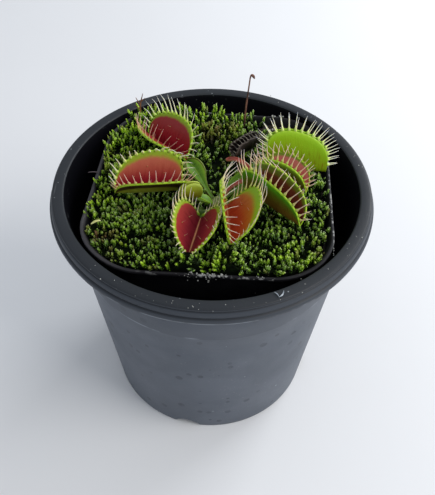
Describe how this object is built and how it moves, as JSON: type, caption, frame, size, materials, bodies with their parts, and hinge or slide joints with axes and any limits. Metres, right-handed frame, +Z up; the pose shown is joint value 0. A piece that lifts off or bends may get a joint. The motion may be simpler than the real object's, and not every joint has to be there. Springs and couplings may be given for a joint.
{
  "type": "potted Venus flytrap",
  "caption": "Small Venus flytrap with red and green toothed traps on winged stalks, growing in moss in a thin black square pot set inside a round slate-grey nursery pot.",
  "frame": {"origin": "middle of the round pot's foot, on the surface it stands on", "axes": "+Z up, along the round pot's axis; +Y to the back of the plant, away from the camera; +X to the right"},
  "size_m": [0.1228, 0.1228, 0.1329],
  "materials": {
    "slate_plastic": "matte recycled plastic, dusty and lightly scratched",
    "black_plastic": "thin black plastic with a soft gloss",
    "peat": null,
    "crown": null,
    "red_trap": null,
    "orange_trap": null,
    "green_trap": null,
    "withered": null,
    "dried_stalk": "dry brown stalk",
    "moss": null
  },
  "bodies": {
    "root": {"outer_pot": "slate_plastic", "square_pot": "black_plastic", "soil": "peat", "crown": "crown", "leaf_a": "red_trap", "leaf_b": "red_trap", "leaf_c": "red_trap", "leaf_d": "orange_trap", "leaf_e": "red_trap", "leaf_f": "red_trap", "leaf_g": "green_trap", "bud_leaf": "green_trap", "withered_leaf": "withered", "dead_stalk": "dried_stalk", "moss": "moss"}
  },
  "joints": []
}
